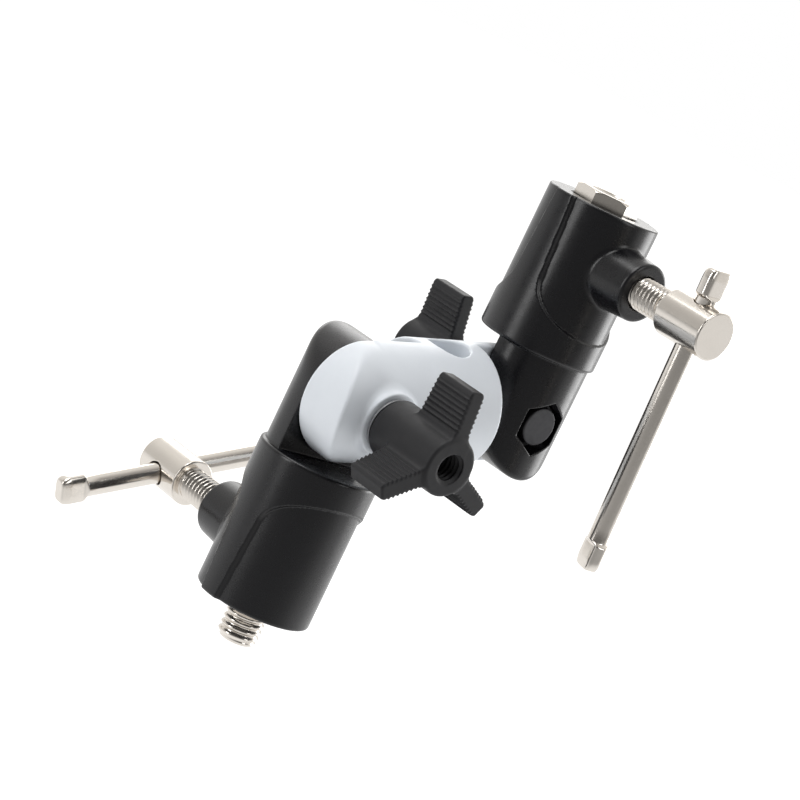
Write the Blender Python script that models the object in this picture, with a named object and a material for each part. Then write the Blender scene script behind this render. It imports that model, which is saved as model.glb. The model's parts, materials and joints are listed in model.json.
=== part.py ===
"""Umbrella swivel bracket: two identical clamp sockets joined half-lap style to a drilled centre link.

Lengths are millimetres in the constants below and become metres through MM. The world's origin is the
centre of the lower socket's mouth, with +Z along its bore. The pivot bolts and clamp screws lie along Y.
Each socket and the hardware on it is modelled in the socket's own frame: the mouth at z = 0, the pivot
bolt along Y at z = PIVOT_Z, the tang on the +Y side of the half-lap plane and the lock knob on the -Y side.
"""

import math

import bmesh
import bpy
from mathutils import Matrix, Vector

MM = 0.001
GAP = 0.3  # between neighbouring pieces
CUT = 1.0  # how far a cutter runs past the face that it opens

# Socket body
RIM_R = 14.4  # ribs and inner collar
PANEL_R = 13.9  # the two recessed panels
TANG_R = 13.4
BORE_R = 8.3  # takes a 16 mm spigot
BORE_DEPTH = 34.0
LEDGE_Z = 36.2  # mouth to half-lap ledge
PIVOT_Z = 51.8
STEP = 0.6  # height of the sloping step under the ledge
STEP_R = 13.95
PANEL_HALF_WIDTH = 13.25
PANEL_MOUTH_HALF = 13.75  # each panel widens a little towards the mouth
PANEL_SIDE_Z = 20.0
PANEL_TOP_Z = 29.5
LAP_GAP = 0.15  # half the gap between the two flats

# Clamp: boss, bush, screw, pad and bar
CLAMP_Z = 13.0
BOSS_Y = 22.4
BOSS_R = 7.0
BOSS_ROOT_R = 7.9
BUSH_R = 5.4
BUSH_Y = 14.0
BUSH_OUT_Y = 20.4  # the bush is moulded in, behind a black lip
SCREW_R = 3.9
HEAD_Y = 32.5
HEAD_END_Y = 46.8
HEAD_R = 5.7
BAR_Y = 40.2
BAR_R = 2.5
BAR_HALF = 37.0
BAR_FLAT = 7.0  # length of each flattened end
BAR_FLAT_WIDTH = 6.8
BAR_FLAT_THICK = 3.4
BAR_TWIST = math.radians(71.0)  # between the flats at the two ends
PAD_R = 3.6
PAD_THICK = 2.0
SCREW_PITCH = 1.25

# Pivot: bolt, washers and lock knob
BOLT_R = 3.9
HEX_RECESS_AF = 11.6
HEX_HEAD_AF = 11.0
HEX_FLOOR_Y = 5.2
HEX_TOP_Y = 9.5
BOLT_END_Y = 12.0
BOLT_END_R = 4.7
BOLT_TIP_Y = -31.0
LAP_WASHER_R = 9.0
LAP_WASHER_HALF = 0.6
SEAT_Y = 15.2
SEAT_R = 7.7
KNOB_WASHER_R = 6.6
KNOB_WASHER_THICK = 0.6
KNOB_BASE_Y = 16.4
KNOB_FACE_Y = 36.9
KNOB_R = 6.8
WING_R = 17.4
WING_HALF = 2.4
WING_TOP_Y = 36.4
WING_ROOT_Y = 24.4
RIDGES = 8
RIDGE_DEPTH = 0.35
KNOB_BUSH_R = 5.0
KNOB_BUSH_END_Y = 33.0

# Spigot: hexagonal, 15.8 mm across its corners
SPIGOT_R = 7.91
SPIGOT_LENGTH = 26.0
STUD_R = 4.76  # 3/8 inch
STUD_LENGTH = 9.5
GROOVE_R = 6.5
SPIGOT_HOLE_R = 4.1
SPIGOT_HOLE_DEPTH = 13.0

# Centre link
LINK_R = 14.45
LINK_SPAN = 48.15  # between the two pivots
LINK_RISE = math.radians(10.1)  # of the link above +X
LINK_END_R = 14.2
SHOULDER = 14.9  # from a pivot to the link's full-round shoulder
SHAFT_HOLE_R = 5.0

# Rest pose of each side, in the socket's own frame: turns in degrees, and how far the clamp screw is out
SIDES = {
    "lower": {"bar_turn": 21.5, "bar_slide": 5.7, "knob_turn": 93.0, "spigot_turn": 0.0, "unscrewed": 2.5},
    "upper": {"bar_turn": 86.9, "bar_slide": 23.5, "knob_turn": -97.0, "spigot_turn": 10.8, "unscrewed": 0.0},
}
SPIGOT_PROUD = 3.0  # how far the upper spigot stands out of its socket

PALETTE = {  # base colour, roughness, metallic
    "socket_plastic": ((0.030, 0.030, 0.033), 0.42, 0.0),
    "link_plastic": ((0.72, 0.75, 0.78), 0.35, 0.0),
    "knob_plastic": ((0.055, 0.055, 0.060), 0.55, 0.0),
    "nickel": ((0.62, 0.59, 0.55), 0.20, 1.0),
    "zinc_steel": ((0.45, 0.45, 0.46), 0.35, 1.0),
    "black_steel": ((0.05, 0.05, 0.05), 0.40, 1.0),
    "brass": ((0.70, 0.52, 0.25), 0.30, 1.0),
    "nylon": ((0.60, 0.60, 0.56), 0.50, 0.0),
}


def clear_scene():
    for old in list(bpy.data.objects):
        bpy.data.objects.remove(old, do_unlink=True)


def material_for(node, finish):
    """One Principled material per sub-part, named after it."""
    colour, roughness, metallic = PALETTE[finish]
    made = bpy.data.materials.new(node)
    made.use_nodes = True
    made.diffuse_color = (*colour, 1.0)
    shader = made.node_tree.nodes["Principled BSDF"]
    shader.inputs["Base Color"].default_value = (*colour, 1.0)
    shader.inputs["Roughness"].default_value = roughness
    shader.inputs["Metallic"].default_value = metallic
    return made


def new_object(name, mesh_builder):
    """An object whose mesh a builder function fills in, in metres."""
    mesh = bpy.data.meshes.new(name)
    shape = bmesh.new()
    mesh_builder(shape)
    shape.to_mesh(mesh)
    shape.free()
    made = bpy.data.objects.new(name, mesh)
    bpy.context.scene.collection.objects.link(made)
    return made


def turned(name, profile, steps=48, ring=False):
    """A body turned about Z from (radius, height) points that run down its outer side.

    A ring's profile closes on itself, and any other one starts and ends on the axis.
    """

    def build(shape):
        points = [shape.verts.new((r * MM, 0.0, z * MM)) for r, z in profile]
        for first, second in zip(points, points[1:]):
            shape.edges.new((first, second))
        if ring:
            shape.edges.new((points[-1], points[0]))

    made = new_object(name, build)
    screw = made.modifiers.new("turn", "SCREW")
    screw.steps = steps
    screw.render_steps = steps
    screw.use_merge_vertices = True
    screw.merge_threshold = 0.00001
    screw.use_smooth_shade = False
    return made


def turned_on_y(name, profile, steps=48, ring=False):
    """As turned(), with the heights measured along +Y."""
    made = turned(name, profile, steps, ring)
    made.data.update()
    made.rotation_euler = (math.radians(-90), 0.0, 0.0)
    return made


def prism_on_y(name, outline, low, high):
    """An outline of (x, z) points extruded from y = low to y = high."""

    def build(shape):
        face = shape.faces.new([shape.verts.new((x * MM, low * MM, z * MM)) for x, z in outline])
        grown = bmesh.ops.extrude_face_region(shape, geom=[face])["geom"]
        moved = [item for item in grown if isinstance(item, bmesh.types.BMVert)]
        bmesh.ops.translate(shape, verts=moved, vec=(0.0, (high - low) * MM, 0.0))
        bmesh.ops.recalc_face_normals(shape, faces=shape.faces)

    return new_object(name, build)


def rod(name, radius, start, end, steps=40):
    """A plain cylinder between two points, in millimetres."""
    start, end = Vector(start) * MM, Vector(end) * MM
    turn = (end - start).to_track_quat("Z", "Y").to_matrix().to_4x4()
    place = Matrix.Translation((start + end) / 2) @ turn

    def build(shape):
        bmesh.ops.create_cone(shape, cap_ends=True, segments=steps, radius1=radius * MM,
                              radius2=radius * MM, depth=(end - start).length, matrix=place)

    return new_object(name, build)


def arc(centre, radius, first, last, count):
    """Points on an arc, in degrees."""
    turns = [math.radians(first + (last - first) * i / (count - 1)) for i in range(count)]
    return [(centre[0] + radius * math.cos(t), centre[1] + radius * math.sin(t)) for t in turns]


def hexagon(across_flats, height):
    """A hexagon about (0, height) with two corners on the vertical line through it."""
    return arc((0.0, height), across_flats / math.sqrt(3.0), 90.0, 390.0, 6)


def combine(target, other, operation):
    """A Boolean with a helper that takes no part in the render."""
    cut = target.modifiers.new(other.name, "BOOLEAN")
    cut.object = other
    cut.operation = operation
    cut.solver = "EXACT"
    other.hide_render = True
    other.display_type = "WIRE"
    return target


def finish_node(node, finish, frame):
    """Gives a sub-part its material and hangs it, with its helpers, on its side's frame."""
    node.data.materials.append(material_for(node.name, finish))
    node.parent = frame
    for modifier in node.modifiers:
        if modifier.type == "BOOLEAN":
            hang_helpers(modifier.object, frame)
    return node


def hang_helpers(helper, frame):
    helper.parent = frame
    for modifier in helper.modifiers:
        if modifier.type == "BOOLEAN":
            hang_helpers(modifier.object, frame)


def stadium(half_width, low, centre, radius, count=33):
    """A tang's outline: straight sides from z = low, and an end rounded about the pivot."""
    return [(half_width, low)] + arc((0.0, centre), radius, 0.0, 180.0, count) + [(-half_width, low)]


def panel_cutter(name, side):
    """What lies outside the panel's radius within the arched outline, on the +Y or the -Y side."""
    rise = PANEL_TOP_Z - PANEL_SIDE_Z
    top = [(x, PANEL_SIDE_Z + rise * z) for x, z in arc((0.0, 0.0), 1.0, 0.0, 180.0, 25)]
    outline = [(PANEL_MOUTH_HALF, -CUT)] + [(PANEL_HALF_WIDTH * x, z) for x, z in top]
    outline.append((-PANEL_MOUTH_HALF, -CUT))
    low, high = sorted((side * 2.0, side * (RIM_R + CUT)))
    cutter = prism_on_y(name, outline, low, high)
    core = rod(name + "_core", PANEL_R, (0, 0, -2 * CUT), (0, 0, PANEL_TOP_Z + CUT), 64)
    return combine(cutter, core, "DIFFERENCE")


def make_socket(side, frame):
    """A moulded socket: bore, ribbed barrel, clamp boss, and the half-lap tang with its hexagon pocket."""
    node = turned(side + "_socket", [
        (0, LEDGE_Z), (STEP_R, LEDGE_Z), (RIM_R, LEDGE_Z - STEP), (RIM_R, 0.7), (RIM_R - 0.7, 0), (0, 0),
    ], 64)
    end = PIVOT_Z + TANG_R
    tang = turned(side + "_tang", [
        (0, end), (TANG_R - 1.6, end), (TANG_R, end - 1.6), (TANG_R, LEDGE_Z - 4), (0, LEDGE_Z - 4),
    ], 64)
    keep = prism_on_y(side + "_tang_keep", stadium(TANG_R + CUT, LEDGE_Z - 5, PIVOT_Z, TANG_R),
                      LAP_GAP, TANG_R + CUT)
    combine(node, combine(tang, keep, "INTERSECT"), "UNION")
    boss = turned_on_y(side + "_boss", [
        (0, BOSS_Y), (BOSS_R - 0.5, BOSS_Y), (BOSS_R, BOSS_Y - 0.5), (BOSS_ROOT_R, 9.0), (0, 9.0),
    ])
    boss.location = (0, 0, CLAMP_Z * MM)
    for sign, label in ((1, "back"), (-1, "front")):
        combine(node, panel_cutter(f"{side}_panel_{label}", sign), "DIFFERENCE")
    combine(node, boss, "UNION")
    bore = turned(side + "_bore", [
        (0, BORE_DEPTH), (BORE_R - 1.5, BORE_DEPTH), (BORE_R, BORE_DEPTH - 1.5), (BORE_R, 0.6),
        (BORE_R + 0.6, 0), (BORE_R + 0.6, -CUT), (0, -CUT),
    ])
    combine(node, bore, "DIFFERENCE")
    screw_way = rod(side + "_screw_way", SCREW_R + GAP, (0, 5, CLAMP_Z), (0, BOSS_Y + CUT, CLAMP_Z))
    combine(node, screw_way, "DIFFERENCE")
    bush_way = rod(side + "_bush_way", BUSH_R + GAP, (0, BUSH_Y - GAP, CLAMP_Z), (0, BUSH_OUT_Y + GAP, CLAMP_Z))
    combine(node, bush_way, "DIFFERENCE")
    bolt_way = rod(side + "_bolt_way", BOLT_R + GAP, (0, -CUT, PIVOT_Z), (0, TANG_R + CUT, PIVOT_Z))
    combine(node, bolt_way, "DIFFERENCE")
    pocket = prism_on_y(side + "_hex_pocket", hexagon(HEX_RECESS_AF, PIVOT_Z), HEX_FLOOR_Y, TANG_R + CUT)
    combine(node, pocket, "DIFFERENCE")
    washer_pocket = rod(side + "_washer_pocket", LAP_WASHER_R + GAP, (0, -CUT, PIVOT_Z),
                        (0, LAP_WASHER_HALF + GAP, PIVOT_Z), 48)
    combine(node, washer_pocket, "DIFFERENCE")
    return finish_node(node, "socket_plastic", frame)


def make_boss_bush(side, frame):
    """The threaded bush that is moulded into the boss; its thread is a plain running bore here."""
    node = turned_on_y(side + "_boss_insert", [
        (SCREW_R + GAP, BUSH_OUT_Y), (BUSH_R, BUSH_OUT_Y), (BUSH_R, BUSH_Y), (SCREW_R + GAP, BUSH_Y),
    ], ring=True)
    node.location = (0, 0, CLAMP_Z * MM)
    return finish_node(node, "nickel", frame)


def make_pad(side, frame):
    """The shoe that the clamp screw presses against the spigot."""
    inner = GROOVE_R + GAP
    node = turned_on_y(side + "_clamp_pad", [
        (0, inner + PAD_THICK), (PAD_R, inner + PAD_THICK), (PAD_R, inner + 0.5), (PAD_R - 0.5, inner), (0, inner),
    ], 32)
    node.location = (0, SIDES[side]["unscrewed"] * MM, CLAMP_Z * MM)
    return finish_node(node, "brass", frame)


def make_clamp_screw(side, frame):
    """A thumb screw with a plain cylindrical head, cross-drilled for its bar."""
    tip = GROOVE_R + PAD_THICK + 2 * GAP
    profile = [(0, HEAD_END_Y), (HEAD_R - 0.4, HEAD_END_Y), (HEAD_R, HEAD_END_Y - 0.4), (HEAD_R, HEAD_Y + 0.5),
               (HEAD_R - 0.5, HEAD_Y), (SCREW_R - 0.6, HEAD_Y)]
    first_crest = HEAD_Y - 0.8
    turns = int((first_crest - BOSS_Y + 2.0) / SCREW_PITCH)
    for turn in range(turns):  # ring grooves stand in for the visible thread
        crest = first_crest - turn * SCREW_PITCH
        profile += [(SCREW_R, crest), (SCREW_R, crest - 0.25), (SCREW_R - 0.6, crest - 0.6)]
    profile += [(SCREW_R, first_crest - turns * SCREW_PITCH), (SCREW_R, tip + 0.8), (SCREW_R - 0.8, tip), (0, tip)]
    node = turned_on_y(side + "_clamp_screw", profile, 32)
    node.location = (0, SIDES[side]["unscrewed"] * MM, CLAMP_Z * MM)
    across = bar_direction(side) * (HEAD_R + CUT)
    middle = Vector((0, BAR_Y + SIDES[side]["unscrewed"], CLAMP_Z))
    hole = rod(side + "_bar_hole", BAR_R + GAP, middle - across, middle + across)
    return finish_node(combine(node, hole, "DIFFERENCE"), "nickel", frame)


def bar_direction(side):
    turn = math.radians(SIDES[side]["bar_turn"])
    return Vector((math.cos(turn), 0.0, math.sin(turn)))


def bar_ring(along, flat, twist):
    """24 points round the bar: a circle, or a squarish superellipse whose wide way is turned by the twist."""
    wide, thick, power = BAR_R, BAR_R, 2.0
    if flat:
        wide, thick, power = BAR_FLAT_WIDTH / 2 * flat, BAR_FLAT_THICK / 2 * flat, 4.0
    ring = []
    for i in range(24):
        turn = 2 * math.pi * i / 24
        level, rise = abs(math.cos(turn - twist)) / wide, abs(math.sin(turn - twist)) / thick
        reach = (level ** power + rise ** power) ** (-1.0 / power)
        ring.append((along * MM, reach * math.sin(turn) * MM, reach * math.cos(turn) * MM))
    return ring


def make_bar(side, frame):
    """The sliding bar: a round rod whose two ends are pressed flat, so that it can't leave its hole."""
    straight = BAR_HALF - BAR_FLAT

    def build(shape):
        stations = [(-BAR_HALF, 0.75, 0.0), (-BAR_HALF + 1.2, 1.0, 0.0), (-straight - 0.8, 1.0, 0.0),
                    (-straight, 0.0, 0.0), (straight, 0.0, 0.0), (straight + 0.8, 1.0, BAR_TWIST),
                    (BAR_HALF - 1.2, 1.0, BAR_TWIST), (BAR_HALF, 0.75, BAR_TWIST)]
        rings = [[shape.verts.new(point) for point in bar_ring(*station)] for station in stations]
        for first, second in zip(rings, rings[1:]):
            for i in range(24):
                shape.faces.new((first[i], first[i - 1], second[i - 1], second[i]))
        shape.faces.new(rings[0])
        shape.faces.new(rings[-1])
        bmesh.ops.recalc_face_normals(shape, faces=shape.faces)

    node = new_object(side + "_clamp_bar", build)
    middle = Vector((0, BAR_Y + SIDES[side]["unscrewed"], CLAMP_Z))
    middle += bar_direction(side) * SIDES[side]["bar_slide"]
    node.location = middle * MM
    node.rotation_euler = (0, -math.radians(SIDES[side]["bar_turn"]), 0)
    return finish_node(node, "nickel", frame)


def make_bolt(side, frame):
    """The pivot bolt: a hexagon seated in the tang's pocket, a round end, and the shank for the knob."""
    node = turned_on_y(side + "_pivot_bolt", [
        (0, BOLT_END_Y), (BOLT_END_R - 0.4, BOLT_END_Y), (BOLT_END_R, BOLT_END_Y - 0.4),
        (BOLT_END_R, HEX_TOP_Y - 1.0), (BOLT_R, HEX_TOP_Y - 1.5), (BOLT_R, BOLT_TIP_Y + 0.8),
        (BOLT_R - 0.8, BOLT_TIP_Y), (0, BOLT_TIP_Y),
    ], 40)
    node.location = (0, 0, PIVOT_Z * MM)
    head = prism_on_y(side + "_hex_head", hexagon(HEX_HEAD_AF, PIVOT_Z), HEX_FLOOR_Y + GAP, HEX_TOP_Y)
    return finish_node(combine(node, head, "UNION"), "black_steel", frame)


def make_lap_washer(side, frame):
    """The friction disc between the two flats."""
    node = turned_on_y(side + "_friction_washer", [
        (BOLT_R + GAP, LAP_WASHER_HALF), (LAP_WASHER_R, LAP_WASHER_HALF), (LAP_WASHER_R, -LAP_WASHER_HALF),
        (BOLT_R + GAP, -LAP_WASHER_HALF),
    ], ring=True)
    node.location = (0, 0, PIVOT_Z * MM)
    return finish_node(node, "nylon", frame)


def make_knob_washer(side, frame):
    """The flat washer between the lock knob and the link."""
    top = -SEAT_Y - GAP
    node = turned_on_y(side + "_knob_washer", [
        (BOLT_R + GAP, top), (KNOB_WASHER_R, top), (KNOB_WASHER_R, top - KNOB_WASHER_THICK),
        (BOLT_R + GAP, top - KNOB_WASHER_THICK),
    ], 40, ring=True)
    node.location = (0, 0, PIVOT_Z * MM)
    return finish_node(node, "zinc_steel", frame)


def wing_outline(turn):
    """One wing, seen along the bolt: both flanks ridged, and the tip chamfered."""
    ridges = []
    first, last = KNOB_R + 1.2, WING_R - 1.2
    for i in range(2 * RIDGES + 1):
        along = first + (last - first) * i / (2 * RIDGES)
        ridges.append((along, WING_HALF - RIDGE_DEPTH * (i % 2)))
    edge = [(KNOB_R - 3.0, WING_HALF)] + ridges + [(WING_R - 0.6, WING_HALF), (WING_R, WING_HALF - 0.7)]
    outline = edge + [(x, -z) for x, z in reversed(edge)]
    c, s = math.cos(math.radians(turn)), math.sin(math.radians(turn))
    return [(x * c - z * s, x * s + z * c + PIVOT_Z) for x, z in outline]


def make_knob(side, frame):
    """The lock knob: a hub with three ridged wings."""
    node = turned_on_y(side + "_lock_knob", [
        (0, -KNOB_BASE_Y), (KNOB_R - 0.5, -KNOB_BASE_Y), (KNOB_R, -KNOB_BASE_Y - 0.5),
        (KNOB_R, -KNOB_FACE_Y + 0.6), (KNOB_R - 0.6, -KNOB_FACE_Y), (0, -KNOB_FACE_Y),
    ])
    node.location = (0, 0, PIVOT_Z * MM)
    for i in range(3):
        outline = wing_outline(SIDES[side]["knob_turn"] + 120.0 * i)
        combine(node, prism_on_y(f"{side}_wing_{i}", outline, -WING_TOP_Y, -WING_ROOT_Y), "UNION")
    bush_way = rod(side + "_knob_bush_way", KNOB_BUSH_R + GAP, (0, -KNOB_BASE_Y + CUT, PIVOT_Z),
                   (0, -KNOB_BUSH_END_Y - GAP, PIVOT_Z))
    combine(node, bush_way, "DIFFERENCE")
    hole = rod(side + "_knob_hole", BOLT_R, (0, -KNOB_BUSH_END_Y, PIVOT_Z), (0, -KNOB_FACE_Y - CUT, PIVOT_Z))
    combine(node, hole, "DIFFERENCE")
    return finish_node(node, "knob_plastic", frame)


def make_knob_bush(side, frame):
    """The knob's threaded bush; its thread is a plain running bore here."""
    low, high = -KNOB_BUSH_END_Y, -KNOB_BASE_Y
    node = turned_on_y(side + "_knob_insert", [
        (BOLT_R + GAP, high), (KNOB_BUSH_R, high), (KNOB_BUSH_R, low), (BOLT_R + GAP, low),
    ], 40, ring=True)
    node.location = (0, 0, PIVOT_Z * MM)
    return finish_node(node, "brass", frame)


def make_spigot(side, frame):
    """A hexagonal spigot: a round waist for the clamp, a 3/8 inch stud, and a threaded hole in the other end."""
    body_r = SPIGOT_R + CUT
    profile = [(0, SPIGOT_LENGTH), (SPIGOT_R - 0.9, SPIGOT_LENGTH), (body_r, SPIGOT_LENGTH - 1.2),
               (body_r, 20.0), (GROOVE_R, 17.6), (GROOVE_R, 5.4), (body_r, 3.0), (body_r, 1.2),
               (SPIGOT_R - 0.9, 0), (STUD_R - 0.5, 0)]
    crests = int((STUD_LENGTH - 1.5) / 1.5875)
    for i in range(crests):  # 16 threads per inch, as ring grooves
        top = -0.8 - i * 1.5875
        profile += [(STUD_R, top), (STUD_R, top - 0.35), (STUD_R - 0.7, top - 0.8)]
    profile += [(STUD_R - 0.2, -STUD_LENGTH + 0.9), (STUD_R - 1.0, -STUD_LENGTH), (0, -STUD_LENGTH)]
    node = turned(side + "_spigot", profile, 40)
    flats = rod(side + "_spigot_flats", SPIGOT_R, (0, 0, -STUD_LENGTH - CUT), (0, 0, SPIGOT_LENGTH + CUT), 6)
    hole = turned(side + "_spigot_hole", [
        (0, SPIGOT_LENGTH + CUT), (SPIGOT_HOLE_R + 0.5, SPIGOT_LENGTH + CUT),
        (SPIGOT_HOLE_R + 0.5, SPIGOT_LENGTH), (SPIGOT_HOLE_R, SPIGOT_LENGTH - 0.5), (SPIGOT_HOLE_R, SPIGOT_LENGTH - SPIGOT_HOLE_DEPTH),
        (0, SPIGOT_LENGTH - SPIGOT_HOLE_DEPTH - 2.0),
    ], 32)
    for item in (node, flats, hole):
        item.rotation_euler = (0, 0, math.radians(SIDES[side]["spigot_turn"]))
        if side == "upper":  # this one is fitted the other way up, with its drilled end outside
            item.rotation_euler.x = math.radians(180)
            item.location = (0, 0, (SPIGOT_LENGTH - SPIGOT_PROUD) * MM)
    combine(node, flats, "INTERSECT")
    return finish_node(combine(node, hole, "DIFFERENCE"), "nickel", frame)


def link_outline():
    """The link's plan in its own frame: x along the link from the lower pivot, both ends round."""
    right = arc((LINK_SPAN, 0.0), LINK_END_R, -90.0, 90.0, 33)
    left = arc((0.0, 0.0), LINK_END_R, 90.0, 270.0, 33)
    sides = LINK_R + CUT
    return ([(0.0, -sides), (LINK_SPAN, -sides)] + right + [(LINK_SPAN, sides), (0.0, sides)] + left)


def lap_cutter(name, end, sign):
    """Removes the half on one side of the lap plane, from the shoulder out to the link's end."""
    shoulder = SHOULDER if end == 0 else LINK_SPAN - SHOULDER
    outer = -30.0 if end == 0 else LINK_SPAN + 30.0
    low, high = sorted((shoulder, outer))
    outline = [(low, -20.0), (high, -20.0), (high, 20.0), (low, 20.0)]
    near, far = sorted((-sign * LAP_GAP, sign * (LINK_R + CUT)))
    return prism_on_y(name, outline, near, far)


def make_link(frame):
    """The moulded centre link: a cylinder with a half-lap and a knob seat at each end, drilled across."""
    node = rod("centre_link", LINK_R, (-20, 0, 0), (LINK_SPAN + 20, 0, 0), 64)
    ends = prism_on_y("link_ends", link_outline(), -LINK_R - CUT, LINK_R + CUT)
    combine(node, ends, "INTERSECT")
    for end, sign, label in ((0, 1, "lower"), (1, -1, "upper")):
        pivot = LINK_SPAN * end
        seat = turned_on_y(f"{label}_seat", [
            (0, SEAT_Y), (SEAT_R - 0.4, SEAT_Y), (SEAT_R, SEAT_Y - 0.4), (SEAT_R + 0.6, 9.0), (0, 9.0),
        ])
        seat.location = (pivot * MM, 0, 0)
        seat.rotation_euler = (math.radians(90 * sign), 0, 0)
        combine(node, seat, "UNION")
        combine(node, lap_cutter(f"{label}_lap", end, sign), "DIFFERENCE")
        bolt_way = rod(f"{label}_link_bolt_way", BOLT_R + GAP, (pivot, -20, 0), (pivot, 20, 0))
        combine(node, bolt_way, "DIFFERENCE")
        low, high = -sign * (LAP_WASHER_HALF + GAP), sign * CUT
        pocket = rod(f"{label}_link_washer_pocket", LAP_WASHER_R + GAP, (pivot, low, 0), (pivot, high, 0), 48)
        combine(node, pocket, "DIFFERENCE")
    shaft_way = rod("shaft_way", SHAFT_HOLE_R, (LINK_SPAN / 2, 0, -20), (LINK_SPAN / 2, 0, 20))
    combine(node, shaft_way, "DIFFERENCE")
    return finish_node(node, "link_plastic", frame)


def new_frame(name, location, rotation):
    """An empty that places one side of the bracket."""
    frame = bpy.data.objects.new(name, None)
    frame.location = location
    frame.rotation_euler = rotation
    bpy.context.scene.collection.objects.link(frame)
    return frame


def main():
    clear_scene()
    far_pivot = Vector((math.cos(LINK_RISE), 0, math.sin(LINK_RISE))) * LINK_SPAN
    upper_mouth = far_pivot + Vector((0, 0, 2 * PIVOT_Z))
    frames = {
        "lower": new_frame("lower_frame", (0, 0, 0), (0, 0, 0)),
        "upper": new_frame("upper_frame", upper_mouth * MM, (math.pi, 0, 0)),
    }
    makers = (make_socket, make_boss_bush, make_pad, make_clamp_screw, make_bar, make_bolt,
              make_lap_washer, make_knob_washer, make_knob, make_knob_bush, make_spigot)
    for side, frame in frames.items():
        for make in makers:
            make(side, frame)
    make_link(new_frame("link_frame", (0, 0, PIVOT_Z * MM), (0, -LINK_RISE, 0)))


main()
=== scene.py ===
# %% [markdown]
# An umbrella swivel bracket: two black clamp sockets, joined by half-lap swivels to a white drilled link.
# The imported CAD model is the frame. It holds every place and size, and the cells below give each piece
# the finish and the small detail of the real one: fillets, helical threads, ridges and plating.

# %% Load the frame
import json
import math

import bpy
import numpy as np
from mathutils import Matrix, Vector


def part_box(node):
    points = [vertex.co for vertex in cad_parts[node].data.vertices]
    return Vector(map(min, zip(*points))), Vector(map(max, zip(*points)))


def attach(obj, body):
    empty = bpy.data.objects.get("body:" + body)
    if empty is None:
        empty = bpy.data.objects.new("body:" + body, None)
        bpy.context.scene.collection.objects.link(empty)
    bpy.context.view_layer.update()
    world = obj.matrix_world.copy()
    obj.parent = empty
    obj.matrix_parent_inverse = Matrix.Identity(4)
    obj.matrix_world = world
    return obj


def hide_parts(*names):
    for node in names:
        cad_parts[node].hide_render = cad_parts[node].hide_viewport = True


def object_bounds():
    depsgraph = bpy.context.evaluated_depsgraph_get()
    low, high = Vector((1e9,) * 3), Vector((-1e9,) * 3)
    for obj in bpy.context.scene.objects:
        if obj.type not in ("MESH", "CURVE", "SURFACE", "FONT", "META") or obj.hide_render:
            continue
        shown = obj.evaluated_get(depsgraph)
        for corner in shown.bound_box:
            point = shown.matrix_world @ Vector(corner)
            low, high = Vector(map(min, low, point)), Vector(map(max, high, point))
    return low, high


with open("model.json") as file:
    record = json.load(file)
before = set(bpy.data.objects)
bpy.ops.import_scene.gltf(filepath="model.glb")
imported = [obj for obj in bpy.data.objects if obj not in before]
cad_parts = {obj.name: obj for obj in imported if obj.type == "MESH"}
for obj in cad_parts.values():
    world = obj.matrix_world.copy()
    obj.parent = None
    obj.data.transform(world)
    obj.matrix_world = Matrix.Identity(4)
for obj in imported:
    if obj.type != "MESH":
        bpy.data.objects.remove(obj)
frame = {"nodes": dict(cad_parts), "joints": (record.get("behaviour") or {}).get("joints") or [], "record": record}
cad_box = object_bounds()
MM = 0.001

# %% [markdown]
# Each socket carries the same set of parts, so all of them are shaped once in the socket's own frame, in
# millimetres: the mouth at z = 0, the pivot bolt along Y, the tang on the +Y side and the lock knob on the
# -Y side. One matrix for each side then carries the points to their place. The upper side is the lower one
# turned half a turn about X, which swaps both up and down and front and back.

# %% Places, read from the frame
joints = {joint["name"]: joint for joint in frame["joints"]}
low_pivot = Vector(joints["lower_pivot"]["pos_m"])
high_pivot = Vector(joints["upper_pivot"]["pos_m"])
PIVOT_Z = low_pivot.z / MM
CLAMP_Z = joints["lower_clamp_turn"]["pos_m"][2] / MM
SPAN = (high_pivot - low_pivot).length / MM
UPPER_MOUTH = Vector((high_pivot.x, 0.0, high_pivot.z + low_pivot.z))
LINK_TURN = math.atan2(high_pivot.z - low_pivot.z, high_pivot.x - low_pivot.x)
SIDES = {
    "lower": Matrix.Identity(4),
    "upper": Matrix.Translation(UPPER_MOUTH) @ Matrix.Rotation(math.pi, 4, "X"),
}
BAR_Y = 40.2  # the bar's axis when the clamp is tight
UNSCREWED = {side: abs(joints[side + "_clamp_turn"]["pos_m"][1]) / MM - BAR_Y for side in SIDES}
LINK_PLACE = Matrix.Translation(low_pivot) @ Matrix.Rotation(-LINK_TURN, 4, "Y")
print("span between pivots, mm:", round(SPAN, 2), "link leans, degrees:", round(math.degrees(LINK_TURN), 1))

# %% [markdown]
# The bracket is seen from the front left, a little above its pivots, with a long lens and the camera rolled
# so that the sockets lean to the right. Back, right and up are the camera's own axes.

# %% Camera
AZIMUTH, ELEVATION, ROLL = math.radians(-45.4), math.radians(9.57), math.radians(25.7)
LENS, DISTANCE = 132.3, 0.663
AIM = Vector((0.0145, 0.0, 0.05445))
back = Vector((math.sin(AZIMUTH) * math.cos(ELEVATION), -math.cos(AZIMUTH) * math.cos(ELEVATION),
               math.sin(ELEVATION)))
level = Vector((0, 0, 1)).cross(back).normalized()
above = back.cross(level)
right = math.cos(ROLL) * level + math.sin(ROLL) * above
up = -math.sin(ROLL) * level + math.cos(ROLL) * above
camera = bpy.data.objects.new("camera", bpy.data.cameras.new("camera"))
camera.data.lens = LENS
camera.data.sensor_width = 36.0
camera.data.clip_start = 0.01
facing = Matrix((right, up, back)).transposed().to_4x4()
camera.matrix_world = Matrix.Translation(AIM + back * DISTANCE) @ facing
bpy.context.scene.collection.objects.link(camera)
bpy.context.scene.camera = camera
print("camera at", [round(v, 3) for v in camera.matrix_world.translation])


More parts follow.
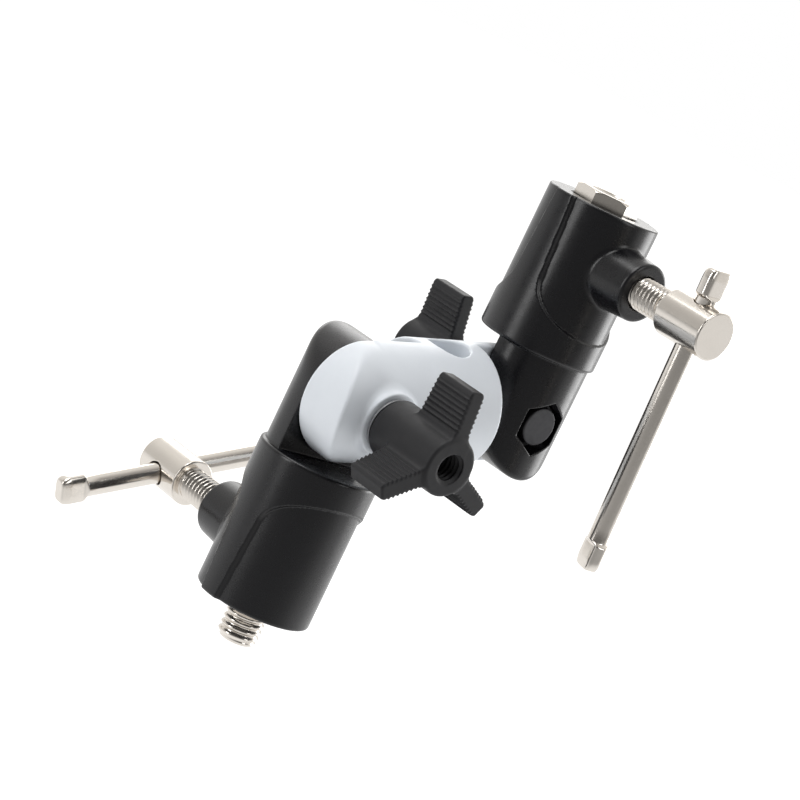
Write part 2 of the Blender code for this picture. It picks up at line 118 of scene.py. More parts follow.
# %% [markdown]
# Every new piece is a mesh filled from whole arrays. A piece says which CAD node it stands for, which body
# it rides on and which finish slot it takes.

# %% From arrays to a piece
finish_slots = {}  # the slot of each new piece, by its object


def placed_object(name, points, faces, place):
    """An object in the scene from points in millimetres, turned and moved by a matrix in metres."""
    world = np.asarray(points) @ np.array(place.to_3x3()).T * MM + np.array(place.translation)
    mesh = bpy.data.meshes.new(name)
    mesh.from_pydata(world.tolist(), [], [list(face) for face in faces])
    made = bpy.data.objects.new(name, mesh)
    bpy.context.scene.collection.objects.link(made)
    return made


def make_piece(name, points, faces, place, body, node, slot, normals=None, sharp=None):
    """A smooth-shaded piece, which stands for a CAD node, rides on a body and takes a finish slot.

    Edges whose faces differ by more than the angle sharp, in degrees, are drawn as edges.
    """
    piece = placed_object(name, points, faces, place)
    mesh = piece.data
    mesh.polygons.foreach_set("use_smooth", np.ones(len(mesh.polygons), bool))
    mesh.update()
    if sharp:
        mesh.set_sharp_from_angle(angle=math.radians(sharp))
    if normals is not None:
        turned_normals = np.asarray(normals) @ np.array(place.to_3x3()).T
        mesh.normals_split_custom_set_from_vertices(turned_normals.tolist())
    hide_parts(node)
    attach(piece, body)
    finish_slots[piece] = slot
    print(name, "faces:", len(mesh.polygons))
    return piece


# %% [markdown]
# A moulding is a few plain solids that run into each other with a fillet at every edge. That is awkward as
# a net of patches and easy as a field: a formula that is negative inside the plastic and positive outside,
# close to the distance in millimetres. join() and cut() are the smooth least and greatest of two fields.
# Where the two are within k of each other, the result bends from one to the other, which is the fillet.

# %% Fields
def join(a, b, k):
    """Union: the lesser of a and b, less h*h*k/4 where h falls from 1 at a = b to 0 where they are k apart."""
    h = np.clip(1.0 - np.abs(a - b) / k, 0.0, 1.0)
    return np.minimum(a, b) - h * h * k / 4.0


def cut(a, b, k):
    """Intersection: the greater of a and b, with a rounded edge about k wide."""
    return -join(-a, -b, k)


def ramp(v):
    """0 below -1, 1 above 1, and a smooth S between."""
    s = np.clip(v * 0.5 + 0.5, 0.0, 1.0)
    return s * s * (3.0 - 2.0 * s)


def slope_of(field, points, step=0.02):
    """The field's gradient at each point, from the difference over a small step on each axis."""
    parts = []
    for axis in range(3):
        shift = np.zeros(3)
        shift[axis] = step
        parts.append((field(*(points + shift).T) - field(*(points - shift).T)) / (2.0 * step))
    return np.stack(parts, axis=1)


# %% [markdown]
# skin() lays a net of quads over the place where a field is zero. Space is divided into small cubes. Each
# cube that the surface crosses gets one point, which slides along the slope until the field there is zero.
# Each cube edge that the surface crosses gets a quad between the four cubes around it. The field's slope
# is also the true direction of the surface, so it serves as the shading normal.

# %% The net
SLIDES, SLIDE_SHARE = 6, 0.9  # how often a point slides, and the share of the way to zero that it goes
SLIDE_REACH, LEAST_STEEP = 0.75, 0.05  # how far it may go, in cubes, and the least slope it divides by


def skin(field, low, high, cell):
    """Points, quads and normals of the surface where field(x, y, z) is zero, within a box."""
    low = np.array(low, float)
    axes = [np.arange(a, b + cell, cell) for a, b in zip(low, high)]
    inside = np.broadcast_to(field(*np.meshgrid(*axes, indexing="ij", sparse=True)), [len(a) for a in axes]) < 0
    count = np.zeros([n - 1 for n in inside.shape], np.int8)
    for i, j, k in np.ndindex(2, 2, 2):
        count += inside[i:i + count.shape[0], j:j + count.shape[1], k:k + count.shape[2]]
    crossed = (count > 0) & (count < 8)
    number = np.full(count.shape, -1)
    number[crossed] = np.arange(crossed.sum())
    home = low + (np.argwhere(crossed) + 0.5) * cell
    points = home.copy()
    for _ in range(SLIDES):
        slope = slope_of(field, points)
        steep = np.maximum((slope ** 2).sum(1), LEAST_STEEP)
        points -= slope * (field(*points.T) / steep)[:, None] * SLIDE_SHARE
        points = np.clip(points, home - SLIDE_REACH * cell, home + SLIDE_REACH * cell)
    quads = []
    for axis in range(3):
        sides = np.moveaxis(inside, axis, 0)
        cubes = np.moveaxis(number, axis, 0)
        first, last = sides[:-1, 1:-1, 1:-1], sides[1:, 1:-1, 1:-1]
        around = np.stack([cubes[:, :-1, :-1], cubes[:, 1:, :-1], cubes[:, 1:, 1:], cubes[:, :-1, 1:]], axis=-1)
        leaving, entering = around[first & ~last], around[~first & last]
        if axis == 1:  # moving this axis to the front leaves the other two in the opposite order
            leaving, entering = entering, leaving
        quads += [leaving, entering[:, ::-1]]
    slope = slope_of(field, points)
    return points, np.concatenate(quads), slope / np.linalg.norm(slope, axis=1)[:, None]


# %% [markdown]
# The socket is one moulding. A round barrel takes the stand's stud, and two shallow panels with arched tops
# leave a rib on each side and a full collar at the inner end. A drafted boss holds the clamp screw's bush.
# Past the ledge only half of the barrel goes on, as a tang with a round end, and its flat face bears on the
# link. A hexagonal pocket in its back keeps the pivot bolt from turning.

# %% Socket
RIM_R, PANEL_R, PANEL_FALL, TANG_R, BORE_R = 14.4, 13.95, 0.6, 13.4, 8.3
BORE_DEPTH, LEDGE_Z, LAP_GAP = 34.0, 36.2, 0.15
PANEL_TURN, PANEL_SPREAD, PANEL_SIDE_Z, PANEL_TOP_Z = 72.0, 6.0, 20.0, 29.5  # degrees each side of Y, heights
BOSS_Y, BOSS_R, BOSS_DRAFT = 22.4, 7.0, 0.07
BUSH_R, BUSH_Y, BUSH_OUT, BOLT_WAY_R = 5.4, 14.0, 20.4, 4.2
HEX_AF, HEX_FLOOR_Y = 11.6, 5.2
WASHER_WAY_R, WASHER_WAY = 9.3, 0.9  # the pocket of the friction washer, on each side of the half-lap
ARCH_SIZE, PANEL_EDGE = 14.0, 0.42  # millimetres to one panel's half, and half the width of its edge
STEP_OUT, STEP_SLOPE = 0.55, 0.75  # the sloping step's start outside the tang, and the slope of its field
TANG_ROOT, BOSS_ROOT_Y, WAY_START_Y = 4.0, 9.0, 4.0  # where tang, boss and screw way begin, inside the barrel


def hexagon_field(x, z, across_flats):
    """Distance outside a hexagon with two corners on the z axis: the greatest over its three pairs of flats."""
    lean = math.radians(60.0)
    flats = np.maximum(np.abs(x), np.abs(x * math.cos(lean) + z * math.sin(lean)))
    return np.maximum(flats, np.abs(x * math.cos(lean) - z * math.sin(lean))) - across_flats / 2.0


def barrel_field(x, y, z):
    """A cylinder whose radius drops to the panel's inside the arch, with a sloping step at the ledge.

    The panels widen by PANEL_SPREAD degrees towards the mouth, so the ribs between them narrow, and each
    gets deeper by PANEL_FALL from its middle to its sides.
    """
    r = np.hypot(x, y)
    turn = np.degrees(np.arctan2(np.abs(x), np.abs(y)))
    rise = np.clip(z - PANEL_SIDE_Z, 0.0, None) / (PANEL_TOP_Z - PANEL_SIDE_Z)
    half = PANEL_TURN + PANEL_SPREAD * np.clip(1.0 - z / PANEL_SIDE_Z, 0.0, 1.0)
    edge = (np.hypot(turn / half, rise) - 1.0) * ARCH_SIZE
    panel = PANEL_R - PANEL_FALL * (turn / half) ** 2
    radius = panel + (RIM_R - panel) * ramp(edge / PANEL_EDGE)
    step = (r - TANG_R - STEP_OUT - (LEDGE_Z - z)) * STEP_SLOPE
    return cut(cut(cut(r - radius, step, 0.3), z - LEDGE_Z, 0.3), -z, 0.7)


def tang_field(x, y, z):
    """A half cylinder on the +Y side, whose end is rounded about the pivot."""
    end = np.hypot(x, np.clip(z - PIVOT_Z, 0.0, None)) - TANG_R
    half = cut(cut(np.hypot(x, y) - TANG_R, end, 1.3), LAP_GAP - y, 0.35)
    return np.maximum(half, LEDGE_Z - TANG_ROOT - z)


def boss_field(x, y, z):
    """A cone about the clamp screw's axis, which narrows to its face."""
    out = np.hypot(x, z - CLAMP_Z)
    cone = (out - BOSS_R - BOSS_DRAFT * (BOSS_Y - y)) * 0.98
    return np.maximum(cut(cone, y - BOSS_Y, 0.9), BOSS_ROOT_Y - y)


def socket_field(x, y, z):
    """Barrel, tang and boss run together, less the bore, the clamp's hole, the pivot hole and the pockets."""
    solid = join(join(barrel_field(x, y, z), tang_field(x, y, z), 0.3), boss_field(x, y, z), 0.9)
    r = np.hypot(x, y)
    bore = np.maximum(r - BORE_R, z - BORE_DEPTH)
    solid = cut(solid, -bore, 0.8)
    across = np.hypot(x, z - CLAMP_Z)
    bush_way = np.maximum(across - BUSH_R - 0.15, np.maximum(BUSH_Y - 0.3 - y, y - BUSH_OUT - 0.2))
    screw_way = np.maximum(across - BOLT_WAY_R, WAY_START_Y - y)
    solid = cut(solid, -np.minimum(bush_way, screw_way), 0.3)
    pivot = np.hypot(x, z - PIVOT_Z)
    bolt_way = np.maximum(pivot - BOLT_WAY_R, LEDGE_Z - z)
    washer_pocket = np.maximum(pivot - WASHER_WAY_R, y - WASHER_WAY)
    hex_pocket = np.maximum(hexagon_field(x, z - PIVOT_Z, HEX_AF), HEX_FLOOR_Y - y)
    solid = cut(solid, -np.minimum(bolt_way, washer_pocket), 0.3)
    return cut(solid, -hex_pocket, 0.4)


points, faces, normals = skin(socket_field, (-15.2, -15.2, -0.8), (15.2, 23.2, 66.4), 0.36)
for side, place in SIDES.items():
    make_piece(side + "_socket_body", points, faces, place, side + "_socket", side + "_socket",
               "socket_plastic", normals)


# %% [markdown]
# The link is a cylinder with its axis from pivot to pivot. Each end is rounded by a second cylinder about
# the pivot, and the two meet in a soft mitre. Half of each end is cut away up to a flat shoulder, on
# opposite sides, so that the sockets' tangs lie against it. A low ring on each end seats the lock knob,
# and the umbrella's shaft goes through the hole across the middle.

# %% Centre link
LINK_R, LINK_END_R, SHOULDER = 14.45, 14.2, 14.9
MITRE_START, MITRE_RISE = 2.0, 3.0  # past this length from the pivot, the end's rounding stands clear
SEAT_ROOT_Y = 8.0
SEAT_Y, SEAT_R, SHAFT_HOLE_R = 15.2, 7.7, 5.0


def link_field(u, y, w):
    """In the link's own frame: u from the lower pivot along the link, y along the bolts, w across."""
    past = np.maximum(np.clip(-u, 0.0, None), np.clip(u - SPAN, 0.0, None))
    tube = np.hypot(y, w) - LINK_R
    clear = ramp((np.minimum(u, SPAN - u) - MITRE_START) / MITRE_START) * MITRE_RISE
    end = np.hypot(past, w) - LINK_END_R - clear
    solid = cut(tube, end, 0.8)
    for pivot, sign in ((0.0, -1.0), (SPAN, 1.0)):
        out = np.hypot(u - pivot, w)
        ring = cut(out - SEAT_R, sign * y - SEAT_Y, 0.5)
        solid = join(solid, np.maximum(ring, SEAT_ROOT_Y - sign * y), 1.4)
    lower_lap = np.maximum(u - SHOULDER, -LAP_GAP - y)
    upper_lap = np.maximum(SPAN - SHOULDER - u, y - LAP_GAP)
    solid = cut(solid, -np.minimum(lower_lap, upper_lap), 0.8)
    for pivot in (0.0, SPAN):
        out = np.hypot(u - pivot, w)
        washer_pocket = np.maximum(out - WASHER_WAY_R, np.abs(y) - WASHER_WAY)
        solid = cut(solid, -np.minimum(out - BOLT_WAY_R, washer_pocket), 0.3)
    shaft = np.hypot(u - SPAN / 2.0, y) - SHAFT_HOLE_R
    return cut(solid, -shaft, 0.7)


points, faces, normals = skin(link_field, (-15.2, -16.4, -15.2), (SPAN + 15.2, 16.4, 15.2), 0.45)
make_piece("link_body", points, faces, LINK_PLACE, "link", "centre_link", "link_plastic", normals)

# %% [markdown]
# The lock knob is a hub with three wings, moulded round a threaded bush. Fine ridges run along both flanks
# of each wing, parallel to the bolt, and its outer corners are chamfered. The pattern repeats every third
# of a turn, so the field folds every point into one wing's sector. The hole in the face shows the thread.

# %% Lock knobs
KNOB_BASE, KNOB_FACE, KNOB_R = 16.4, 36.9, 6.8
WING_R, WING_HALF, WING_ROOT, WING_TOP = 17.4, 2.35, 24.4, 36.4
RIDGE_PITCH, RIDGE_DEPTH, THREAD_PITCH = 1.15, 0.42, 1.25
HUB_DRAFT, KNOB_HOLE_R, KNOB_THREAD = 0.012, 2.95, 0.6
KNOB_TURN = {"lower": 93.0, "upper": -97.0}


def knob_field(x, y, z):
    """z is measured from the pivot's axis; out is the distance towards the face, along -Y."""
    out = -y
    r = np.hypot(x, z)
    hub = cut(r - KNOB_R - HUB_DRAFT * (KNOB_FACE - out), np.maximum(out - KNOB_FACE, KNOB_BASE - out), 0.9)
    third = 2.0 * math.pi / 3.0
    turn = np.mod(np.arctan2(z, x) + third / 2.0, third) - third / 2.0
    along, across = r * np.cos(turn), np.abs(r * np.sin(turn))
    wave = 0.5 - 0.5 * np.cos(2.0 * math.pi * (along - KNOB_R - 0.6) / RIDGE_PITCH)
    ridged = ramp((along - KNOB_R - 1.0) / 0.4) * ramp((WING_R - 1.1 - along) / 0.4)
    flank = across - WING_HALF + RIDGE_DEPTH * np.sqrt(wave) * ridged
    tip = cut(along - WING_R, along * 0.5 + across * 0.87 - WING_R * 0.5 - 1.35, 0.3)
    top = out - WING_TOP + 0.05 * np.clip(along - KNOB_R, 0.0, None)
    wing = cut(cut(flank * 0.8, tip, 0.5), cut(top, WING_ROOT - out - 0.10 * (WING_R - along), 0.5), 0.6)
    solid = join(hub, np.maximum(wing, 2.0 - along), 0.8)
    phase = out / THREAD_PITCH + np.arctan2(z, x) / (2.0 * math.pi)
    groove = np.abs(2.0 * np.mod(phase, 1.0) - 1.0)
    hole = r - KNOB_HOLE_R - KNOB_THREAD * groove - ramp((out - KNOB_FACE + 0.4) / 0.3) * 0.25
    return cut(solid, -hole * 0.7, 0.3)


points, faces, normals = skin(knob_field, (-18.2, -37.6, -18.2), (18.2, -16.4, 18.2), 0.27)
for side, place in SIDES.items():
    spin = Matrix.Translation((0, 0, PIVOT_Z * MM)) @ Matrix.Rotation(math.radians(-KNOB_TURN[side]), 4, "Y")
    make_piece(side + "_knob_body", points, faces, place @ spin, side + "_lock_knob", side + "_lock_knob",
               "knob_plastic", normals)


# %% [markdown]
# The metal parts are turned on a lathe, so each is a profile of radius and height carried round an axis.
# bend_corners() swaps each corner of the profile for a small arc, because plating and turning leave none
# sharp. A thread is a wave taken from the radius: its phase is the height over the pitch less the share of
# a turn, so the groove climbs one pitch for each turn, which makes a true helix.

# %% The lathe
def bend_corners(profile, radius, count=4):
    """A quadratic curve in place of each inner corner: it starts and ends at most radius from the corner."""
    points = np.array(profile, float)
    out = [points[0]]
    for before, corner, after in zip(points, points[1:], points[2:]):
        near = min(radius, 0.45 * np.linalg.norm(corner - before), 0.45 * np.linalg.norm(after - corner))
        start = corner + (before - corner) * near / np.linalg.norm(before - corner)
        end = corner + (after - corner) * near / np.linalg.norm(after - corner)
        for t in np.linspace(0.0, 1.0, count):
            out.append((1 - t) ** 2 * start + 2 * t * (1 - t) * corner + t * t * end)
    return np.array(out + [points[-1]])


def even_steps(profile, step):
    """The profile with points added on it, so that no two are more than a step apart."""
    pieces = []
    for first, last in zip(profile, profile[1:]):
        count = max(1, int(math.ceil(np.linalg.norm(last - first) / step)))
        pieces.append(first + (last - first) * np.arange(count)[:, None] / count)
    return np.concatenate(pieces + [profile[-1:]])


def thread_wave(height, turn, pitch, low, high):
    """0 on the crest and 1 at the root of a right-hand thread that fades in and out at low and high."""
    wave = np.abs(2.0 * np.mod(height / pitch - turn / (2.0 * math.pi), 1.0) - 1.0)
    fade = ramp((height - low) / (0.6 * pitch) - 1.0) * ramp((high - height) / (0.6 * pitch) - 1.0)
    return np.clip(1.3 * wave - 0.2, 0.0, 1.0) * fade


def turned(profile, segments=72, corner=0.3, step=0.5, threads=(), shape=None):
    """Points and faces of a body turned about z from a profile that runs down its outer side, pole to pole.

    threads holds (pitch, depth, low, high) for each threaded length. shape(height, turn) is a greatest
    radius, for a part that isn't round.
    """
    curve = even_steps(bend_corners(profile, corner), step)
    turn = np.linspace(0.0, 2.0 * math.pi, segments, endpoint=False)[None, :]
    radius = np.repeat(curve[1:-1, :1], segments, axis=1)
    height = np.repeat(curve[1:-1, 1:], segments, axis=1)
    for pitch, depth, low, high in threads:
        radius = radius - depth * thread_wave(height, turn, pitch, low, high)
    if shape:
        radius = np.minimum(radius, shape(height, turn))
    rows = np.stack([radius * np.cos(turn), radius * np.sin(turn), height], axis=-1).reshape(-1, 3)
    poles = np.array([[0.0, 0.0, curve[0, 1]], [0.0, 0.0, curve[-1, 1]]])
    count = len(curve) - 2
    index = np.arange(count * segments).reshape(count, segments)
    after = np.roll(index, -1, axis=1)
    quads = np.stack([index[:-1], index[1:], after[1:], after[:-1]], axis=-1).reshape(-1, 4)
    top, bottom = count * segments, count * segments + 1
    caps = [(top, a, b) for a, b in zip(index[0], after[0])]
    caps += [(bottom, b, a) for a, b in zip(index[-1], after[-1])]
    return np.concatenate([rows, poles]), quads.tolist() + caps


def along_y(points, middle_z):
    """Points turned about z, laid along +Y instead, with their axis at a height."""
    return np.stack([points[:, 0], points[:, 2], -points[:, 1] + middle_z], axis=1)


# %% [markdown]
# The clamp screw is an M8 thumb screw: a plain cylindrical head, drilled across for its bar, on a threaded
# shank. Its sliding bar is a round rod. Both ends are pressed flat after it is threaded through the head,
# so they are wider than the hole and keep it in.

# %% Clamp screws
SCREW_R, HEAD_Y, HEAD_END, HEAD_R, SCREW_TIP = 3.95, 32.5, 46.8, 5.7, 9.1
screw_profile = [(0, HEAD_END), (HEAD_R, HEAD_END), (HEAD_R, HEAD_Y), (SCREW_R - 0.3, HEAD_Y),
                 (SCREW_R - 0.3, HEAD_Y - 0.9), (SCREW_R, HEAD_Y - 1.3), (SCREW_R, SCREW_TIP + 0.8),
                 (SCREW_R - 0.8, SCREW_TIP), (0, SCREW_TIP)]
points, faces = turned(screw_profile, segments=96, corner=0.35, step=0.12,
                       threads=[(THREAD_PITCH, 0.55, SCREW_TIP, HEAD_Y - 0.3)])
screws = {}
for side, place in SIDES.items():
    out = Matrix.Translation((0, UNSCREWED[side] * MM, 0))
    screws[side] = make_piece(side + "_clamp_screw_body", along_y(points, CLAMP_Z), faces, place @ out,
                              side + "_clamp_screw", side + "_clamp_screw", "nickel")

# %% Sliding bars
BAR_R, BAR_HALF, FLAT_LENGTH, FLAT_WIDE, FLAT_THICK = 2.5, 37.0, 7.0, 3.4, 1.7
BAR_TWIST = math.radians(71.0)  # between the flats at the two ends
FLAT_STEP, TIP_LENGTH, TIP_FALL, EDGE = 1.2, 2.4, 1.3, 0.5


def bar_surface(segments=64):
    """Rings of a rod along x, each a superellipse: one over the root of its two shares to the same power.

    From round, a ring becomes wide, thin and squarish within the length of the step. The width then falls
    to the tip on a quarter ellipse, and the last half millimetre closes over an edge radius.
    """
    straight = BAR_HALF - FLAT_LENGTH
    flat_start, flat_end = straight + FLAT_STEP, BAR_HALF - EDGE
    x = np.concatenate([np.linspace(0.0, straight, 10)[:-1], np.linspace(straight, flat_start, 12)[:-1],
                        np.linspace(flat_start, flat_end, 16)[:-1],
                        flat_end + EDGE * np.sin(np.linspace(0.0, math.pi / 2, 7))])
    x = np.concatenate([-x[:0:-1], x])
    reach = np.abs(x)
    flat = ramp((reach - straight - 0.5) / 0.5)
    tip = np.clip((reach - BAR_HALF + TIP_LENGTH) / TIP_LENGTH, 0.0, 1.0)
    edge = np.clip((reach - BAR_HALF + EDGE) / EDGE, 0.0, 1.0)
    close = EDGE * (1.0 - np.sqrt(1.0 - edge ** 2))
    wide = BAR_R + (FLAT_WIDE - BAR_R) * flat - TIP_FALL * (1.0 - np.sqrt(1.0 - 0.98 * tip ** 2)) - close
    thick = BAR_R + (FLAT_THICK - BAR_R) * flat - 0.15 * tip - close
    power = 2.0 + 3.0 * flat
    turn = np.linspace(0.0, 2.0 * math.pi, segments, endpoint=False)[None, :]
    from_flat = turn - np.where(x > 0, BAR_TWIST, 0.0)[:, None]
    share = (np.abs(np.cos(from_flat)) / wide[:, None]) ** power[:, None]
    share += (np.abs(np.sin(from_flat)) / thick[:, None]) ** power[:, None]
    radius = share ** (-1.0 / power[:, None])
    rows = np.stack([np.repeat(x[:, None], segments, 1), radius * np.sin(turn), radius * np.cos(turn)], axis=-1)
    index = np.arange(len(x) * segments).reshape(-1, segments)
    after = np.roll(index, -1, axis=1)
    quads = np.stack([index[:-1], after[:-1], after[1:], index[1:]], axis=-1).reshape(-1, 4).tolist()
    points = np.concatenate([rows.reshape(-1, 3), [[x[0], 0, 0], [x[-1], 0, 0]]])
    first, last = len(points) - 2, len(points) - 1
    quads += [(first, b, a) for a, b in zip(index[0], after[0])]
    quads += [(last, a, b) for a, b in zip(index[-1], after[-1])]
    return points, quads


def head_middle(side):
    """The middle of the screw head's cross hole, in metres."""
    return SIDES[side] @ Vector((0, (BAR_Y + UNSCREWED[side]) * MM, CLAMP_Z * MM))


points, faces = bar_surface()
for side, place in SIDES.items():
    low, high = (Vector(corner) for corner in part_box(side + "_clamp_bar"))
    axis = Vector(joints[side + "_bar_slide"]["axis"])
    middle = head_middle(side)
    middle += axis * ((low + high) / 2 - middle).dot(axis)
    own_axis = place.to_3x3().inverted() @ axis
    lean = Matrix.Rotation(math.atan2(-own_axis.z, own_axis.x), 4, "Y")
    lay = Matrix.Translation(middle) @ place.to_3x3().to_4x4() @ lean
    make_piece(side + "_clamp_bar_body", points, faces, lay, side + "_clamp_bar", side + "_clamp_bar",
               "nickel", sharp=50)

# %% [markdown]
# The head's cross hole is cut with a rod a little thicker than the bar, flared at its two mouths so that the
# edge of the hole is broken, as a drill and countersink leave it.

# %% Cross holes
HOLE_HALF = BAR_R + 0.3
half_flare = [(0, 8.0), (3.9, 8.0), (3.4, 6.2), (HOLE_HALF, 5.2)]
flare = half_flare + [(radius, -height) for radius, height in reversed(half_flare)]
points, faces = turned(flare, segments=48, corner=0.5, step=1.0)
for side in SIDES:
    axis = Vector(joints[side + "_bar_slide"]["axis"])
    lay = Matrix.Translation(head_middle(side)) @ axis.to_track_quat("Z", "Y").to_matrix().to_4x4()
    drill = placed_object(side + "_drill", points, faces, lay)
    cross = screws[side].modifiers.new("cross hole", "BOOLEAN")
    cross.object = drill
    bpy.context.view_layer.update()
    solid = screws[side].evaluated_get(bpy.context.evaluated_depsgraph_get())
    drilled = bpy.data.meshes.new_from_object(solid)
    screws[side].modifiers.clear()
    screws[side].data = drilled
    bpy.data.objects.remove(drill)
    print(side, "head drilled, faces:", len(drilled.polygons))

# %% [markdown]
# The spigot is turned from hexagonal bar, with a round waist where the clamp presses, a 3/8 inch stud at one
# end and a threaded hole in the other. Its end faces are chamfered by the same lathe, so the chamfer bites
# only at the corners. The same part is fitted either way up, and the upper one has its drilled end outside.

# %% Spigots
SPIGOT_R, SPIGOT_LENGTH, STUD_R, STUD_LENGTH, WAIST_R = 7.91, 26.0, 4.76, 9.5, 6.5
STUD_PITCH, HOLE_R, HOLE_DEPTH = 25.4 / 16, 4.1, 13.0
SPIGOT_TURN = {"lower": 0.0, "upper": 10.8}


def hexagon_limit(turn, corner_radius):
    """A hexagon's radius: half its width across flats over the cosine of the turn from the nearest flat."""
    sixth = math.pi / 3.0
    from_flat = np.mod(turn + sixth / 2.0, sixth) - sixth / 2.0
    return corner_radius * math.cos(sixth / 2.0) / np.cos(from_flat)


def spigot_limit(height, turn):
    """The hexagon, on the body only."""
    return np.where(height > -0.01, hexagon_limit(turn, SPIGOT_R), 99.0)


def spigot_surface():
    """One profile from the bottom of the threaded hole, over the rim, down the outside and round the stud."""
    floor = SPIGOT_LENGTH - HOLE_DEPTH
    body_r = SPIGOT_R + 0.6
    hole = [(0, floor - 1.8), (HOLE_R, floor), (HOLE_R, SPIGOT_LENGTH - 0.7), (HOLE_R + 0.7, SPIGOT_LENGTH)]
    outside = [(SPIGOT_R - 0.9, SPIGOT_LENGTH), (body_r, SPIGOT_LENGTH - 1.0), (body_r, 19.6),
               (WAIST_R, 17.6), (WAIST_R, 5.4), (body_r, 3.4), (body_r, 1.0), (SPIGOT_R - 0.9, 0.0)]
    stud = [(STUD_R - 0.7, 0), (STUD_R - 0.7, -0.5), (STUD_R, -0.9), (STUD_R, 0.9 - STUD_LENGTH),
            (STUD_R - 0.9, -STUD_LENGTH), (0, -STUD_LENGTH)]
    threads = [(STUD_PITCH, 0.5, -STUD_LENGTH - 0.6, 0.2)]
    points, faces = turned(hole + outside + stud, segments=96, corner=0.2, step=0.16, threads=threads,
                           shape=spigot_limit)
    r = np.hypot(points[:, 0], points[:, 1])
    in_hole = (r < HOLE_R + 0.35) & (points[:, 2] > floor + 0.2)
    wave = thread_wave(points[:, 2], np.arctan2(points[:, 1], points[:, 0]), THREAD_PITCH, floor,
                       SPIGOT_LENGTH)
    crest = np.where(in_hole, 1.0 - 0.45 * wave / np.maximum(r, 1.0), 1.0)
    points[:, :2] *= crest[:, None]
    return points, faces


points, faces = spigot_surface()
for side in SIDES:
    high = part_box(side + "_spigot")[1]
    spin = Matrix.Rotation(math.radians(SPIGOT_TURN[side]), 4, "Z")
    if side == "upper":
        lift = Matrix.Translation(UPPER_MOUTH + Vector((0, 0, high[2] - UPPER_MOUTH.z - SPIGOT_LENGTH * MM)))
        seat = lift @ spin.inverted()
    else:
        seat = spin
    make_piece(side + "_spigot_body", points, faces, seat, side + "_socket", side + "_spigot", "nickel",
               sharp=52)

# %% [markdown]
# The pivot bolt's hexagon sits deep in its pocket, with a round end standing out of it. Its corners are
# chamfered, as on any bolt: the hexagon's radius is never more than a cone about the axis allows.

# %% Pivot bolts
BOLT_R, BOLT_END_R, HEX_HEAD_AF, HEX_TOP, BOLT_END, BOLT_TIP = 3.9, 4.7, 11.0, 9.5, 12.0, -31.0
HEX_BLANK_R, BOLT_THREAD_END = 6.6, -18.0  # the turned blank round the hexagon, and the inner end of the thread


def hex_limit(height, turn):
    """The head's hexagon under a chamfer cone, and no limit on the round end."""
    cone = HEX_HEAD_AF / 2.0 * 1.04 + (HEX_TOP - height) * 1.6
    limit = np.minimum(hexagon_limit(turn, HEX_HEAD_AF / math.sqrt(3.0)), cone)
    return np.where(height > HEX_TOP + 0.01, 99.0, limit)


bolt_profile = [(0, BOLT_END), (BOLT_END_R, BOLT_END), (BOLT_END_R, HEX_TOP), (HEX_BLANK_R, HEX_TOP),
                (HEX_BLANK_R, HEX_FLOOR_Y + 0.3), (BOLT_R, HEX_FLOOR_Y + 0.3), (BOLT_R, BOLT_TIP + 0.8),
                (BOLT_R - 0.8, BOLT_TIP), (0, BOLT_TIP)]
points, faces = turned(bolt_profile, segments=144, corner=0.35, step=0.3,
                       threads=[(THREAD_PITCH, 0.6, BOLT_TIP - 0.5, BOLT_THREAD_END)], shape=hex_limit)
for side, place in SIDES.items():
    make_piece(side + "_pivot_bolt_body", along_y(points, PIVOT_Z), faces, place, side + "_socket",
               side + "_pivot_bolt", "black_steel", sharp=40)


# %% [markdown]
# Materials. Moulded plastic is smooth but never perfect: a fine orange-peel relief, a little variation in
# gloss where hands and moulds have worked, and hardly any in colour. All of it is noise on the piece's own
# Object coordinates, so it stays put when a piece moves.

# %% Material helpers
def new_material(name):
    """A material with its Principled shader and its node tree."""
    made = bpy.data.materials.new(name)
    made.use_nodes = True
    return made, made.node_tree, made.node_tree.nodes["Principled BSDF"]


def noise(tree, size, detail=3.0):
    """Noise with features about size metres across, on Object coordinates."""
    where = tree.nodes.new("ShaderNodeTexCoord")
    made = tree.nodes.new("ShaderNodeTexNoise")
    made.inputs["Scale"].default_value = 1.0 / size
    made.inputs["Detail"].default_value = detail
    tree.links.new(where.outputs["Object"], made.inputs["Vector"])
    return made.outputs["Fac"]


def spread(tree, value, low, high):
    """A noise value carried to the range from low to high."""
    made = tree.nodes.new("ShaderNodeMapRange")
    made.inputs["From Min"].default_value = 0.3
    made.inputs["From Max"].default_value = 0.7
    made.inputs["To Min"].default_value = low
    made.inputs["To Max"].default_value = high
    tree.links.new(value, made.inputs["Value"])
    return made.outputs["Result"]


def tint(tree, value, first, second):
    """A colour between two, by a noise value."""
    made = tree.nodes.new("ShaderNodeMix")
    made.data_type = "RGBA"
    made.inputs["A"].default_value = (*first, 1.0)
    made.inputs["B"].default_value = (*second, 1.0)
    tree.links.new(value, made.inputs["Factor"])
    return made.outputs["Result"]


def relief(tree, shader, value, strength, depth):
    """Bump from a noise value, with a depth in metres."""
    made = tree.nodes.new("ShaderNodeBump")
    made.inputs["Strength"].default_value = strength
    made.inputs["Distance"].default_value = depth
    tree.links.new(value, made.inputs["Height"])
    tree.links.new(made.outputs["Normal"], shader.inputs["Normal"])


def moulded(name, dark, light, gloss, grain, depth, specular):
    """Plastic: two close colours, roughness between two values, and a fine relief."""
    made, tree, shader = new_material(name)
    tree.links.new(tint(tree, noise(tree, 0.004), dark, light), shader.inputs["Base Color"])
    tree.links.new(spread(tree, noise(tree, 0.0025, 4.0), *gloss), shader.inputs["Roughness"])
    shader.inputs["Specular IOR Level"].default_value = specular
    relief(tree, shader, noise(tree, grain, 2.0), 0.6, depth)
    return made


